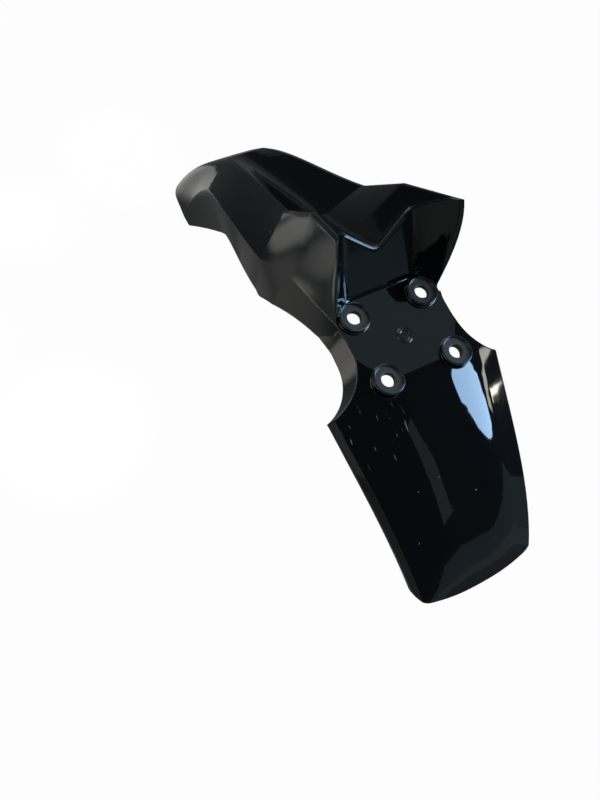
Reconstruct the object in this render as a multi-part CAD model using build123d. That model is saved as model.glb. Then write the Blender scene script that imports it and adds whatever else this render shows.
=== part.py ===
from build123d import *
from math import asin, copysign, cos, pi, radians, sin, tan
import os

# Motorcycle front mudguard, one moulded shell, sizes in millimetres.
# Origin: centre of the four bolt holes, on the plane of the bolt seats.
# +X is to the right, +Y is forward along the guard, +Z is up, away from the wheel.

# Shell
wall = 3.0
widest_flat = 8.0

# Bolt pattern and its raised seats
bolt_spacing_x = 70.0
bolt_spacing_y = 62.0
bolt_hole_d = 12.6
rim_d = 28.4
seat_d = 24.6
rim_z = 2.0
pad_z = -2.0

# Wheel under the guard: every cross-section lies in a plane through the axle
axle_y = 48.0
axle_z = -360.0

# Fork legs that pass the waist
fork_y = 4.0
notch_x = 51.2
notch_r = 50.0
notch_draft = 0.18

# Rear face of the hump: three facets standing on the pad
face_half = 33.0
face_y = 49.5
face_lean = 0.71
corner_x = 53.0
corner_y = 31.5
corner_lean_x = 0.08
corner_lean_y = 0.31
face_top = 130.0
face_round = 7.0
foot_round = 4.0

# Free edges
tail_angle = -46.8
tail_bow = 9.0
tail_corner_r = 19.0
nose_angle = 68.0
nose_lean = 6.0
skirt_r = 279.0
kink_angle = 36.0
heel_angle = 14.4
heel_round = 12.0
kink_round = 25.0
chin_round = 5.0
waist_z = -29.0

# Mark ring in the middle of the pad
mark_d = 14.0
mark_bore = 9.0
mark_height = 0.6

base_r = 236.0


def station(angle):
    """Plane through the axle, its own Y axis pointing outward at this angle from +Z."""
    a = radians(angle)
    return Plane(origin=(0, axle_y, axle_z), x_dir=(1, 0, 0), z_dir=(0, -cos(a), sin(a)))


def polar(angle, r):
    """Point (y, z) in the middle plane at an angle and distance from the axle."""
    a = radians(angle)
    return (axle_y + r * sin(a), axle_z + r * cos(a))


def inset_points(points, distance, closed=False):
    """Move a path to its left by one distance, keeping one point for each corner."""
    count = len(points)
    normals = []
    for i in range(count if closed else count - 1):
        d = Vector(*points[(i + 1) % count]) - Vector(*points[i])
        normals.append(Vector(-d.Y, d.X).normalized())
    moved = []
    for i in range(count):
        if closed:
            before, after = normals[i - 1], normals[i]
        else:
            before, after = normals[max(i - 1, 0)], normals[min(i, count - 2)]
        shift = (before + after) * (distance / (1 + before.dot(after)))
        moved.append((points[i][0] + shift.X, points[i][1] + shift.Y))
    return moved


def section(inset, angle, ridge_x, ridge_r, edge_x, edge_r, lower_x, lower_r, ridge_half, *middle):
    """Cross-section at one angle: skirts, side edges, broken ridges, and the middle where it differs.

    A half width says how far a break reaches along its sides. Narrow breaks and the hidden inside
    are cut flat, wide ones on the outside are rounded.
    """
    run = (edge_r - base_r) / (edge_r - lower_r)
    right = [(edge_x + (lower_x - edge_x) * run, base_r), (edge_x, edge_r), (ridge_x, ridge_r)]
    left = [(-x, r) for x, r in reversed(right)]
    centre = [(0, middle[0])] if middle else []
    path = [Vector(*point) for point in inset_points(right + centre + left, inset)]
    points, radii = [path[0]], []
    for i, half in enumerate([0, ridge_half, *middle[1:], ridge_half, 0], 1):
        before = (path[i] - path[i - 1]).normalized()
        after = (path[i + 1] - path[i]).normalized()
        half_turn = asin(before.cross(after).Z) / 2
        if before.dot(after) < 0:
            half_turn = copysign(pi / 2, half_turn) - half_turn
        if half == 0:
            points.append(path[i])
            radii.append(0)
        elif inset or half < widest_flat:
            reach = 0.62 * max(half - inset * tan(half_turn), 0.8)
            points += [path[i] - before * reach, path[i] + after * reach]
            radii += [0, 0]
        else:
            points.append(path[i])
            radii.append(half / tan(abs(half_turn)))
    outline = FilletPolyline(*points, path[-1], radius=radii)
    return station(angle) * make_face(outline + Line(path[-1], path[0]))


# Stations: angle, ridge x and r, side edge x and r, skirt x and r, half width of the ridge break,
# and where the middle differs from the ridges its r and the half width of its own break
tail_stations = [
    (-50, 30, 363, 57, 361, 65, 348.5, 15),
    (-40, 32, 365.5, 65, 359, 73, 346, 16),
    (-30, 36, 367, 73, 352, 82, 338.5, 17),
    (-21, 40, 367.5, 80, 347, 89.5, 333.5, 19),
    (-12.5, 43, 366.5, 87, 349, 96.5, 335.5, 21),
]
pad_stations = [
    tail_stations[-1],
    (-3.5, 50, 364, 60, 360, 66, 329, 3),
]
wing_stations = [
    (-3.5, 69.8, 486, 51.6, 360, 62, 329, 7, 434, 2),
    (9, 45.5, 415.5, 60, 338, 69.5, 300, 7, 366, 5),
    (16, 42, 371, 64.7, 319, 69, 279, 5.5, 347, 7),
]
trough_stations = [
    wing_stations[-1],
    (25, 34.4, 354, 64.2, 318, 65.5, 282, 4.5, 335, 12),
    (34, 28.5, 348, 59, 319, 57, 283, 4, 333, 13),
    (43, 24, 345, 52, 320, 51, 279, 5.2, 345.4, 9),
]
nose_stations = [
    trough_stations[-1],
    (53, 33, 337, 48.3, 307.5, 47.5, 274, 10, 337.4, 9),
    (63, 41.5, 334, 47.3, 295, 46, 271, 17, 334.4, 9),
    (73, 47, 333, 46.8, 286.5, 45.5, 272, 21, 333.4, 9),
]


def rear_face_space(grow):
    """Space above the pad, its front side being the three facets of the rear face."""
    floor = pad_z - grow

    def outline(z):
        front_y = face_y + face_lean * z
        side = Vector(corner_x + corner_lean_x * z, corner_y + corner_lean_y * z)
        crease = Vector(face_half, front_y)
        past = crease + (side - crease) * 1.8
        half = [(crease.X, crease.Y), (past.X, past.Y), (past.X + 25, -95)]
        ring = half + [(-x, y) for x, y in reversed(half)]
        ring = inset_points(ring, grow * 1.2, closed=True)
        return Plane.XY.offset(z) * make_face(
            FilletPolyline(*ring, radius=[face_round, 0, 0, 0, 0, face_round], close=True))

    space = loft([outline(floor), outline(face_top)], ruled=True)
    if grow:
        return space
    foot = space.faces().sort_by(Axis.Z)[0].edges().filter_by_position(Axis.Y, 0, 200)
    return fillet(foot, foot_round)


def notch_space(side, grow):
    """Space for one fork leg: round behind the leg, flaring out along the wing in front of it."""
    def outline(z, wall_x, back_r):
        back_y = fork_y - back_r - grow
        x = wall_x - grow
        path = [(240, 140), (x + 28, 140), (x, 18), (x, back_y), (240, back_y)]
        rounds = [0, 0, 30, back_r + grow, 0]
        return Plane.XY.offset(z) * make_face(FilletPolyline(*path, radius=rounds, close=True))

    low, high = -140.0, 100.0
    space = loft([
        outline(low, notch_x - notch_draft * low, notch_r + notch_draft * low),
        outline(0, notch_x, notch_r),
        outline(high, notch_x + corner_lean_x * high, notch_r),
    ], ruled=True)
    return space if side > 0 else mirror(space, about=Plane.YZ)


def body(inset):
    """Solid form of the guard, set in by a distance: smooth stretches, but a straight pad and wings."""
    solid = Part()
    for stations in (tail_stations, pad_stations, wing_stations, trough_stations, nose_stations):
        straight = stations in (pad_stations, wing_stations)
        solid += loft([section(inset, *row) for row in stations], ruled=straight)
    solid -= rear_face_space(inset)
    for side in (-1, 1):
        solid -= notch_space(side, inset)
    return solid


def side_outline():
    """Everything above the lower free edge, seen from the side."""
    shoulder = (-41.0, -36.0)
    knee = (36.0, waist_z)
    heel = polar(heel_angle, skirt_r)
    kink = polar(kink_angle, skirt_r + 2)
    chin = polar(nose_angle, skirt_r - 2)
    front_top = polar(nose_angle + nose_lean, 480)
    tail_edge = ThreePointArc(polar(-56, 363), polar(-29, 336.5), shoulder)
    waist = Line(shoulder, knee)
    hip = ThreePointArc(knee, (80, -54.5), heel)
    flank = ThreePointArc(heel, polar((heel_angle + kink_angle) / 2, skirt_r + 4), kink)
    front = Polyline(kink, chin, front_top)
    top = Polyline(front_top, (400, 260), (-400, 260), polar(-56, 363))
    sketch = make_face([tail_edge, waist, hip, flank, front, top])
    for point, radius in ((heel, heel_round), (kink, kink_round), (chin, chin_round)):
        corner = sketch.vertices().sort_by_distance((point[0], point[1], 0))[0]
        sketch = fillet(corner, radius)
    return extrude(Plane.YZ * sketch, 160, both=True)


def tail_outline():
    """Everything ahead of the rounded tail end, seen along the tail's own outward direction."""
    end_y, end_z = polar(tail_angle, 363)
    a = radians(tail_angle)
    view = Plane(origin=(0, end_y, end_z), x_dir=(1, 0, 0), z_dir=(0, sin(a), cos(a)))
    half_end = 64.5
    half_far = half_end + 0.145 * 700
    corners = [(half_far, 700), (half_end, tail_bow), (-half_end, tail_bow), (-half_far, 700)]
    ends = [Line(corners[3], corners[0]), Line(corners[0], corners[1]), Line(corners[2], corners[3]),
            ThreePointArc(corners[1], (0, 0), corners[2])]
    sketch = make_face(ends)
    rounded = fillet(sketch.vertices().sort_by(Axis.Y)[:2], tail_corner_r)
    return extrude(view * rounded, 700, both=True)


# Four bolt bosses on the solid form, hollowed together with it
low_corner = (Align.CENTER, Align.CENTER, Align.MIN)
bolts = GridLocations(bolt_spacing_x, bolt_spacing_y, 2, 2)
boss = Pos(0, 0, pad_z - 2 * wall) * Cylinder(rim_d / 2, rim_z - pad_z + 2 * wall, align=low_corner)
guard = body(0) & side_outline() & tail_outline()
guard += bolts * boss
guard -= body(wall)

# Recessed round seat and through hole of each boss
seat = Cylinder(seat_d / 2, 2 * rim_z, align=low_corner)
hole = Cylinder(bolt_hole_d / 2, 10 * wall)
guard -= bolts * seat
guard -= bolts * hole

# Plain raised ring in the middle of the pad
ring = Cylinder(mark_d / 2, wall, align=low_corner) - Cylinder(mark_bore / 2, wall, align=low_corner)
guard += Pos(0, 0, pad_z + mark_height - wall) * ring

os.makedirs("parts", exist_ok=True)
export_step(guard, "parts/mudguard.step")
print("solids", len(guard.solids()), "volume", round(guard.volume), "box", guard.bounding_box())
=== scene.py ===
# %% [markdown]
# # A motorcycle front mudguard in gloss black
# The solid shape of this mudguard comes from CAD, in metres, with +Z up and +Y towards the beak.
# This lesson gives it its finish, puts it in a small studio and points a camera at it. The shape
# itself is never moved or changed here, because the parts library measures it in this place.

# %% Load the moulded shell
import bpy
from math import atan, cos, pi, radians, sin
from mathutils import Matrix, Vector


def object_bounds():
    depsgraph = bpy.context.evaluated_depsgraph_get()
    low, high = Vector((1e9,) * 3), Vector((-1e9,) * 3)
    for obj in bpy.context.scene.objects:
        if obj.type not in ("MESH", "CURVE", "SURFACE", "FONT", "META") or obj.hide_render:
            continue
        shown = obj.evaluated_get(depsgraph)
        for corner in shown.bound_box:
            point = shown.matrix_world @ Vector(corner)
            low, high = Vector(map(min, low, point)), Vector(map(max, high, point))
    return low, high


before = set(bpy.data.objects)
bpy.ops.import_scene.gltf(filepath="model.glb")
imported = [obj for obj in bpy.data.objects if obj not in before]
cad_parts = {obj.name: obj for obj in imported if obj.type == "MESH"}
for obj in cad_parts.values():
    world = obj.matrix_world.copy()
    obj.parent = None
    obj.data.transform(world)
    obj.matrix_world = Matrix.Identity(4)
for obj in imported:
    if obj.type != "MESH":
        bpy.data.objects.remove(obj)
size_at_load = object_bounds()
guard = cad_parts["mudguard"]
print("guard triangles:", len(guard.data.polygons))
print("guard box:", [[round(c, 4) for c in corner] for corner in size_at_load])

# %% [markdown]
# ## Helpers for node trees
# A material in Blender is a small graph of nodes. A few short helpers keep the steps readable. They
# add a node with its settings, feed a socket with a value or a link, chain sums and products, turn
# a mask round, and blend softly from 0 to 1 between two limits. All of them work in a material and
# in a node group.

# %% Node helpers
def add_node(tree, kind, **settings):
    node = tree.nodes.new(kind)
    for name, value in settings.items():
        setattr(node, name, value)
    return node


def feed(tree, value, socket):
    if isinstance(value, bpy.types.NodeSocket):
        tree.links.new(value, socket)
    else:
        socket.default_value = value


def maths(tree, operation, *values, clamp=False):
    node = add_node(tree, "ShaderNodeMath", operation=operation, use_clamp=clamp)
    for value, socket in zip(values, node.inputs):
        feed(tree, value, socket)
    return node.outputs["Value"]


def opposite(tree, mask):
    return maths(tree, "SUBTRACT", 1.0, mask)


def soft_step(tree, value, low, high):
    node = add_node(tree, "ShaderNodeMapRange", interpolation_type="SMOOTHSTEP")
    feed(tree, value, node.inputs["Value"])
    node.inputs["From Min"].default_value = low
    node.inputs["From Max"].default_value = high
    return node.outputs["Result"]


# %% [markdown]
# ## Where the bolts clamp
# On the real guard each bolt hole has a recessed seat. The mould leaves these seats dull, while
# the rest comes out of a polished mould. The seats are part of the same solid, so there is no
# separate piece to paint. Instead the finish asks where a point lies: folding X and Y with an
# absolute value puts all four holes on one spot, and the distance from it gives a round mask.

# %% Mask for the dull bolt seats
bolt_x, bolt_y = 0.035, 0.031
seat_radius = 0.0123
seat_border = 0.0004
seat_level, rim_level = 0.0002, 0.0006

seat_group = bpy.data.node_groups.new("bolt seat mask", "ShaderNodeTree")
seat_group.interface.new_socket("Seat", in_out="OUTPUT", socket_type="NodeSocketFloat")
place = add_node(seat_group, "ShaderNodeTexCoord")
axes = add_node(seat_group, "ShaderNodeSeparateXYZ")
seat_group.links.new(place.outputs["Object"], axes.inputs["Vector"])
from_x = maths(seat_group, "SUBTRACT", maths(seat_group, "ABSOLUTE", axes.outputs["X"]), bolt_x)
from_y = maths(seat_group, "SUBTRACT", maths(seat_group, "ABSOLUTE", axes.outputs["Y"]), bolt_y)
squared = maths(seat_group, "ADD", maths(seat_group, "MULTIPLY", from_x, from_x),
                maths(seat_group, "MULTIPLY", from_y, from_y))
distance = maths(seat_group, "SQRT", squared)
inside = opposite(seat_group, soft_step(seat_group, distance, seat_radius - seat_border, seat_radius))
below_rim = opposite(seat_group, soft_step(seat_group, axes.outputs["Z"], seat_level, rim_level))
seat_out = add_node(seat_group, "NodeGroupOutput")
seat_group.links.new(maths(seat_group, "MULTIPLY", inside, below_rim), seat_out.inputs["Seat"])
print("seat mask reaches", seat_radius * 1000, "mm from each bolt")

# %% [markdown]
# ## Handling marks
# A gloss part that has been handled carries hairline scratches, dust and a few scuffs. Scratches
# hardly change the colour of black plastic but break its mirror, while dust and scuffs show as pale
# dots. A painted picture could hold all of this, but noise needs neither a picture nor an unwrapped
# shape. So a node group puts out three values: a haze, the specks and a height. It starts with
# patches, a broad noise that says where the surface has been rubbed most.

# %% Group for the handling marks
marks_group = bpy.data.node_groups.new("handling marks", "ShaderNodeTree")
for name in ("Haze", "Specks", "Height"):
    marks_group.interface.new_socket(name, in_out="OUTPUT", socket_type="NodeSocketFloat")
marks_out = add_node(marks_group, "NodeGroupOutput")
on_guard = add_node(marks_group, "ShaderNodeTexCoord").outputs["Object"]


def noise(points, scale, detail):
    node = add_node(marks_group, "ShaderNodeTexNoise")
    node.inputs["Scale"].default_value = scale
    node.inputs["Detail"].default_value = detail
    marks_group.links.new(points, node.inputs["Vector"])
    return node.outputs["Fac"]


patches = noise(on_guard, scale=26.0, detail=4.0)
print("outputs of the marks:", [socket.name for socket in marks_out.inputs if socket.name])

# %% [markdown]
# ### Hairlines
# Wiping leaves hairline scratches that run one way. Noise that is squeezed in two directions and
# left long in the third gives thin streaks, and only its peaks are kept. The patches thin them out,
# so that the scratches come in groups, as they do on a real part.

# %% Hairline scratches
hairline_turn = (0.3, 0.5, 0.9)
hairline_squeeze = (22.0, 1500.0, 900.0)


def squeezed(turn, squeeze):
    node = add_node(marks_group, "ShaderNodeMapping")
    node.inputs["Rotation"].default_value = turn
    node.inputs["Scale"].default_value = squeeze
    marks_group.links.new(on_guard, node.inputs["Vector"])
    return node.outputs["Vector"]


hairlines = noise(squeezed(hairline_turn, hairline_squeeze), scale=1.0, detail=2.0)
peaks = soft_step(marks_group, hairlines, 0.66, 0.74)
grouped = soft_step(marks_group, patches, 0.5, 0.64)
scratches = maths(marks_group, "MULTIPLY", peaks, grouped)
print("hairlines are about", round(hairline_squeeze[1] / hairline_squeeze[0]), "times as long as wide")

# %% [markdown]
# ### Dust
# Dust lies as single small dots. Scattered little spheres would do, but they would be new pieces on
# the guard. A Voronoi texture cuts space into cells instead, each with a centre and a random colour.
# The red of that colour says how large the speck at the centre is, and most cells get none.

# %% Dust specks
cells_per_metre = 95.0
clean_share = 0.86
largest_speck = 0.085
speck_border = 0.03

cells = add_node(marks_group, "ShaderNodeTexVoronoi")
cells.inputs["Scale"].default_value = cells_per_metre
marks_group.links.new(on_guard, cells.inputs["Vector"])
chance = add_node(marks_group, "ShaderNodeSeparateColor")
marks_group.links.new(cells.outputs["Color"], chance.inputs["Color"])
dusty_cells = soft_step(marks_group, chance.outputs["Red"], clean_share, 1.0)
speck_size = maths(marks_group, "MULTIPLY", dusty_cells, largest_speck)
near_centre = maths(marks_group, "SUBTRACT", speck_size, cells.outputs["Distance"])
dust = soft_step(marks_group, near_centre, 0.0, speck_border)
print("largest speck radius", round(largest_speck / cells_per_metre * 1000, 2), "mm")

# %% [markdown]
# ### Scuffs
# The left shoulder of the tail has a few short pale scuffs, as if the guard had been set down there.
# The same squeezed noise makes them, shorter and slanted. They keep to one place, so their mask is
# the distance from that place.

# %% Scuffs at the left shoulder of the tail
scuff_centre = (-0.058, -0.068, -0.022)
scuff_core, scuff_reach = 0.02, 0.036
scuff_turn = (0.0, 0.0, 0.5)
scuff_squeeze = (420.0, 60.0, 110.0)

away = add_node(marks_group, "ShaderNodeVectorMath", operation="DISTANCE")
away.inputs[1].default_value = scuff_centre
marks_group.links.new(on_guard, away.inputs[0])
beyond = soft_step(marks_group, away.outputs["Value"], scuff_core, scuff_reach)
flakes = noise(squeezed(scuff_turn, scuff_squeeze), scale=1.0, detail=3.0)
scuffs = maths(marks_group, "MULTIPLY", soft_step(marks_group, flakes, 0.66, 0.73),
               opposite(marks_group, beyond))
print("scuffs reach", scuff_reach * 1000, "mm from their centre")

# %% [markdown]
# ### The three outputs
# Patches and scratches together make the haze, and dust and scuffs make the specks. The height is a
# slow ripple with the scratches cut into it. No moulded face is quite flat, and the ripple bends the
# mirror images a little.

# %% Outputs of the marks group
haze_share = 0.5
scratch_depth = 0.02

haze = maths(marks_group, "ADD", maths(marks_group, "MULTIPLY", patches, haze_share),
             maths(marks_group, "MULTIPLY", scratches, haze_share), clamp=True)
specks = maths(marks_group, "MAXIMUM", dust, scuffs)
ripple = noise(on_guard, scale=38.0, detail=1.0)
height = maths(marks_group, "SUBTRACT", ripple,
               maths(marks_group, "MULTIPLY", scratches, scratch_depth))
for name, value in (("Haze", haze), ("Specks", specks), ("Height", height)):
    marks_group.links.new(value, marks_out.inputs[name])
print("marks group nodes:", len(marks_group.nodes))

# %% [markdown]
# ## Deep gloss black
# The guard is moulded in black plastic with a mirror finish. Black itself shows almost nothing: what
# the eye sees is the room mirrored in it, so every edge counts. The edges of the solid are sharp, and
# a Bevel node rounds them for the light alone. Bevelled geometry would do it too, but this shape has
# to stay as it was measured. The edges of the raised hump are rounder than those of the pad, and the
# tips of the wings are thin. So the radius grows with height and shrinks again near the tips.

# %% Rounded edges
plastic_ior = 1.52
pad_radius = 0.0016
hump_gain = 0.0055
tip_loss = 0.003
hump_foot, hump_shoulder = 0.004, 0.03
tip_foot, tip_end = 0.045, 0.07
ripple_strength = 0.22
ripple_height = 0.0004

gloss = bpy.data.materials.new("gloss black moulding")
gloss.use_nodes = True
tree = gloss.node_tree
shader = tree.nodes["Principled BSDF"]
shader.inputs["IOR"].default_value = plastic_ior
seat = add_node(tree, "ShaderNodeGroup", node_tree=seat_group)
marks = add_node(tree, "ShaderNodeGroup", node_tree=marks_group)

where = add_node(tree, "ShaderNodeTexCoord")
level = add_node(tree, "ShaderNodeSeparateXYZ")
tree.links.new(where.outputs["Object"], level.inputs["Vector"])
hump = maths(tree, "MULTIPLY", soft_step(tree, level.outputs["Z"], hump_foot, hump_shoulder), hump_gain)
tips = maths(tree, "MULTIPLY", soft_step(tree, level.outputs["Z"], tip_foot, tip_end), tip_loss)
radius = maths(tree, "ADD", pad_radius, maths(tree, "SUBTRACT", hump, tips))
rounded = add_node(tree, "ShaderNodeBevel", samples=16)
tree.links.new(radius, rounded.inputs["Radius"])
bump = add_node(tree, "ShaderNodeBump")
bump.inputs["Strength"].default_value = ripple_strength
bump.inputs["Distance"].default_value = ripple_height
tree.links.new(marks.outputs["Height"], bump.inputs["Height"])
tree.links.new(rounded.outputs["Normal"], bump.inputs["Normal"])
tree.links.new(bump.outputs["Normal"], shader.inputs["Normal"])
hump_radius = pad_radius + hump_gain
print("edge radius", pad_radius * 1000, "mm on the pad,", round(hump_radius * 1000, 1), "mm on the hump")

# %% [markdown]
# ### Colour of the plastic, the seats, the painted edge highlights and the specks
# The plastic is nearly black with a cold tint, and the dull seats are a warmer dark grey. Every edge
# turns a little grey: a painted highlight that stands in for the thin bright lines rounded edges
# mirror. Edges also get rubbed first, and the roughness below makes them duller. An edge is where the
# rounded normal of the Bevel leaves the normal of the face, so the dot product of the two finds it,
# with nothing to paint by hand. The colours lie over each other like coats, each with its mask.

# %% Base colour
edge_mask_start, edge_mask_full = 0.01, 0.2
edge_highlight_share = 0.5
cold_black = (0.0018, 0.0026, 0.0032, 1.0)
seat_grey = (0.034, 0.0315, 0.029, 1.0)
# A lighter grey for every edge: a painted highlight along the edges.
edge_highlight_grey = (0.085, 0.087, 0.09, 1.0)
dust_grey = (0.26, 0.265, 0.27, 1.0)


def coat(mask, below, above):
    node = add_node(tree, "ShaderNodeMix", data_type="RGBA")
    socket_below, socket_above, mixed = node.inputs[6], node.inputs[7], node.outputs[2]
    feed(tree, below, socket_below)
    feed(tree, above, socket_above)
    tree.links.new(mask, node.inputs["Factor"])
    return mixed


face = add_node(tree, "ShaderNodeNewGeometry")
agreement = add_node(tree, "ShaderNodeVectorMath", operation="DOT_PRODUCT")
tree.links.new(face.outputs["Normal"], agreement.inputs[0])
tree.links.new(rounded.outputs["Normal"], agreement.inputs[1])
# The edge mask places the painted edge highlight, and also the duller rubbed edges in the roughness.
edge_highlight_and_wear = soft_step(tree, opposite(tree, agreement.outputs["Value"]), edge_mask_start, edge_mask_full)
colour = coat(seat.outputs["Seat"], cold_black, seat_grey)
# Painted highlight: a lighter grey laid along every edge.
colour = coat(maths(tree, "MULTIPLY", edge_highlight_and_wear, edge_highlight_share), colour, edge_highlight_grey)
colour = coat(marks.outputs["Specks"], colour, dust_grey)
tree.links.new(colour, shader.inputs["Base Color"])
print("base colour ends in", colour.node.name)

# %% [markdown]
# ### Roughness
# A polished mould leaves plastic that is almost a mirror. Everything that happens to it later makes
# it duller, so each mask adds its own share: the haze a little, worn edges more, and the moulded
# seats and the specks most.

# %% Roughness of the guard
polished = 0.03
duller = (
    (marks.outputs["Haze"], 0.07),
    (edge_highlight_and_wear, 0.16),
    (seat.outputs["Seat"], 0.42),
    (marks.outputs["Specks"], 0.4),
)
rough = polished
for mask, share in duller:
    rough = maths(tree, "ADD", rough, maths(tree, "MULTIPLY", mask, share), clamp=True)
tree.links.new(rough, shader.inputs["Roughness"])
for slot in guard.material_slots:
    slot.material = gloss
print("finish on", len(guard.material_slots), "slot, nodes:", len(tree.nodes))

# %% [markdown]
# ## The floor
# The guard lies on a wide white floor. To a camera ray the floor is nearly white by itself, so the
# background stays clean, while a small share of lit diffuse white keeps a trace of the shadow. A
# mirror ray gets only a little of that white: what it sees is mostly the floor as the lamps light
# it, and that is what draws the pale and the dark facets of the beak.

# %% White floor
floor_size = 12.0
floor_gap = 0.0005
paper_white = (0.82, 0.82, 0.82, 1.0)
pure_white = (1.0, 1.0, 1.0, 1.0)
camera_share = 0.98
mirror_share = 0.07

lowest = size_at_load[0].z
bpy.ops.mesh.primitive_plane_add(size=floor_size, location=(0.0, 0.0, lowest - floor_gap))
floor = bpy.context.object
floor.name = "white floor"
floor_finish = bpy.data.materials.new("white floor")
floor_finish.use_nodes = True
floor_tree = floor_finish.node_tree
floor_tree.nodes.remove(floor_tree.nodes["Principled BSDF"])
lit = add_node(floor_tree, "ShaderNodeBsdfDiffuse")
lit.inputs["Color"].default_value = paper_white
glow = add_node(floor_tree, "ShaderNodeEmission")
glow.inputs["Color"].default_value = pure_white
rays = add_node(floor_tree, "ShaderNodeLightPath")
mirrored = maths(floor_tree, "MAXIMUM", rays.outputs["Is Glossy Ray"],
                 rays.outputs["Is Transmission Ray"])
seen = maths(floor_tree, "ADD", maths(floor_tree, "MULTIPLY", rays.outputs["Is Camera Ray"], camera_share),
             maths(floor_tree, "MULTIPLY", mirrored, mirror_share))
floor_mix = add_node(floor_tree, "ShaderNodeMixShader")
floor_tree.links.new(seen, floor_mix.inputs[0])
floor_tree.links.new(lit.outputs[0], floor_mix.inputs[1])
floor_tree.links.new(glow.outputs[0], floor_mix.inputs[2])
floor_tree.links.new(floor_mix.outputs[0], floor_tree.nodes["Material Output"].inputs["Surface"])
floor.data.materials.append(floor_finish)
print("floor at z", round(floor.location.z, 4))

# %% [markdown]
# ## The room
# Around the floor the room is dim, so the gloss stays black where nothing shines on it. The camera
# itself sees white there, which joins the floor without a horizon line in other views.

# %% Dim room with a white surround
dusk = (0.85, 0.95, 1.0, 1.0)
dusk_strength = 0.045
surround_strength = 0.985

scene = bpy.context.scene
world = bpy.data.worlds.new("dim room")
scene.world = world
world.use_nodes = True
room = world.node_tree
dim = room.nodes["Background"]
dim.inputs["Color"].default_value = dusk
dim.inputs["Strength"].default_value = dusk_strength
surround = add_node(room, "ShaderNodeBackground")
surround.inputs["Color"].default_value = pure_white
surround.inputs["Strength"].default_value = surround_strength
room_rays = add_node(room, "ShaderNodeLightPath")
room_mix = add_node(room, "ShaderNodeMixShader")
room.links.new(room_rays.outputs["Is Camera Ray"], room_mix.inputs[0])
room.links.new(dim.outputs[0], room_mix.inputs[1])
room.links.new(surround.outputs[0], room_mix.inputs[2])
room.links.new(room_mix.outputs[0], room.nodes["World Output"].inputs["Surface"])
print("room strength", dusk_strength)

# %% [markdown]
# ## Softboxes
# A gloss part is lit by what it mirrors, so each lamp here is a flat shape that shows up in the
# plastic. It is placed by its bearing from +Y towards +X, its height above the horizon and its
# distance, and it faces the guard. Its power follows from its area, so that a number for brightness
# says how bright the mirror image is. The cool oval on the right is the main light: its image is the
# blue patch on the tail. This oval and the softboxes in front and on the left light the guard only,
# so that the floor stays neutral.

# %% Softboxes for the guard alone
def lamp(name, bearing, height, distance, width, depth, brightness, tint,
         aim=(0.0, 0.0, 0.0), shape="RECTANGLE"):
    a, e = radians(bearing), radians(height)
    data = bpy.data.lights.new(name, "AREA")
    data.shape = shape
    data.size, data.size_y = width, depth
    area = width * depth * (pi / 4 if shape == "ELLIPSE" else 1.0)
    data.energy = brightness * pi * area
    data.color = tint
    piece = bpy.data.objects.new(name, data)
    direction = Vector((sin(a) * cos(e), cos(a) * cos(e), sin(e)))
    piece.location = Vector(aim) + direction * distance
    piece.rotation_euler = direction.to_track_quat("Z", "Y").to_euler()
    piece.visible_camera = False
    scene.collection.objects.link(piece)
    print("lamp", name, "at", [round(c, 2) for c in piece.location], "power", round(data.energy, 2))
    return piece


tail_top = (0.05, -0.06, -0.01)
sky_blue = (0.42, 0.66, 1.0)
cool = lamp("cool oval", 114.5, 33.5, 1.5, 0.65, 1.22, 15.5, sky_blue, aim=tail_top, shape="ELLIPSE")
front = lamp("front softbox", 25, 40, 1.6, 1.0, 0.8, 2.5, (0.9, 0.96, 1.0))
left = lamp("left softbox", -80, 40, 1.6, 0.9, 0.9, 2.5, (1.0, 0.98, 0.95))
only_guard = bpy.data.collections.new("lit by the softboxes")
only_guard.objects.link(guard)
for softbox in (cool, front, left):
    softbox.light_linking.receiver_collection = only_guard

# %% [markdown]
# ## Cards
# Smaller shapes are like the white cards of a product studio, each for one reflection. Two cream
# cards make the pale streaks at the right edge of the tail. The overhead card lifts the pad, and the
# rear card draws the faint band down the tail. The left low card shows in the left rim of the tail,
# and the wide low card gives the rear face and the tail end their dark sheen.

# %% Cards for single reflections
tail_middle = (0.0, -0.1, -0.04)
tail_left = (-0.05, -0.1, -0.05)
tail_under = (0.0, -0.1, -0.045)
lamp("cream card", 103, 7, 1.5, 0.30, 0.13, 4.5, (1.0, 0.96, 0.88), aim=tail_top)
lamp("small cream card", 103, -0.6, 1.5, 0.07, 0.055, 13.0, (1.0, 0.97, 0.84), aim=tail_top)
lamp("overhead card", 62, 60, 1.5, 0.9, 0.6, 0.4, (0.6, 0.85, 1.0))
lamp("rear card", 160, 42, 1.5, 0.32, 1.15, 0.25, (0.75, 0.95, 1.0), aim=tail_middle)
lamp("left low card", -113, -5, 1.4, 0.6, 0.16, 0.25, (1.0, 1.0, 0.96), aim=tail_left)
lamp("low card", 145, 0, 1.6, 1.45, 0.40, 0.17, (0.6, 0.9, 1.0), aim=tail_under)

# %% [markdown]
# ## Pools of light on the floor
# The low facets on the left look down at the floor beside the guard. A lamp can't stand in the floor,
# so spots light pieces of it, and each facet turns as pale as the piece that it mirrors. Facets that
# mirror the floor between the pools or further away stay dark. There is a pool for the nose, the
# beak, the flank, the hip and the waist, and a wide faint one for the left rim of the tail.

# %% Spots on the floor
spot_tint = (1.0, 0.98, 0.92)
spot_size = 0.01


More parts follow.
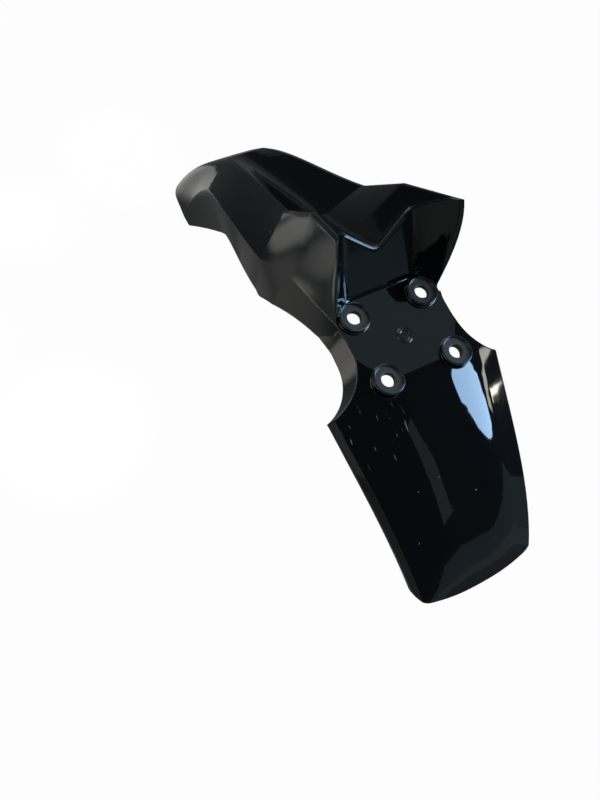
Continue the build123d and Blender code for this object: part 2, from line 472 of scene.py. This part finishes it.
def floor_spot(name, location, centre, width, power, blend):
    data = bpy.data.lights.new(name, "SPOT")
    data.energy = power
    data.color = spot_tint
    data.spot_blend = blend
    data.shadow_soft_size = spot_size
    piece = bpy.data.objects.new(name, data)
    piece.location = location
    reach = piece.location - Vector((*centre, lowest))
    data.spot_size = 2 * atan(width / 2 / reach.length)
    piece.rotation_euler = reach.to_track_quat("Z", "Y").to_euler()
    scene.collection.objects.link(piece)
    print("spot", name, "is", round(reach.length, 2), "m from its pool")


floor_spot("nose spot", (-0.4, 0.8, 0.9), (-0.085, 0.425), width=0.16, power=54.0, blend=0.4)
floor_spot("beak spot", (-0.8, 0.5, 0.9), (-0.225, 0.38), width=0.16, power=64.0, blend=0.9)
floor_spot("flank spot", (-0.8, 0.4, 0.9), (-0.36, 0.235), width=0.30, power=28.0, blend=1.0)
floor_spot("hip spot", (-0.8, 0.2, 0.9), (-0.16, 0.24), width=0.14, power=21.0, blend=1.0)
floor_spot("waist spot", (-0.8, -0.1, 0.9), (-0.27, 0.11), width=0.20, power=85.0, blend=0.8)
floor_spot("tail spot", (-0.9, -0.5, 0.9), (-0.65, -0.38), width=1.30, power=5.0, blend=1.0)

# %% [markdown]
# ## Camera
# The photograph was taken from above the left side of the tail. The view was measured from the
# symmetry of the guard: the two sides and the four bolt holes fix where the camera stands. A
# portrait picture of 800 lines with a 36 mm lens on a 36 mm sensor gives the same perspective.

# %% Camera
sensor_and_lens = 36.0
camera_place = (-0.3229, -0.1678, 0.5941)
back = Vector((-0.324, -0.232, 0.917)).normalized()
right = Vector((0.873, -0.448, 0.195))

camera_data = bpy.data.cameras.new("camera")
camera_data.sensor_width = sensor_and_lens
camera_data.lens = sensor_and_lens
camera = bpy.data.objects.new("camera", camera_data)
scene.collection.objects.link(camera)
right = (right - back * right.dot(back)).normalized()
up = back.cross(right)
turn = Matrix((right, up, back)).transposed().to_4x4()
camera.matrix_world = Matrix.Translation(camera_place) @ turn
scene.camera = camera
scene.view_settings.view_transform = "Standard"
print("camera at", [round(c, 4) for c in camera.matrix_world.translation])
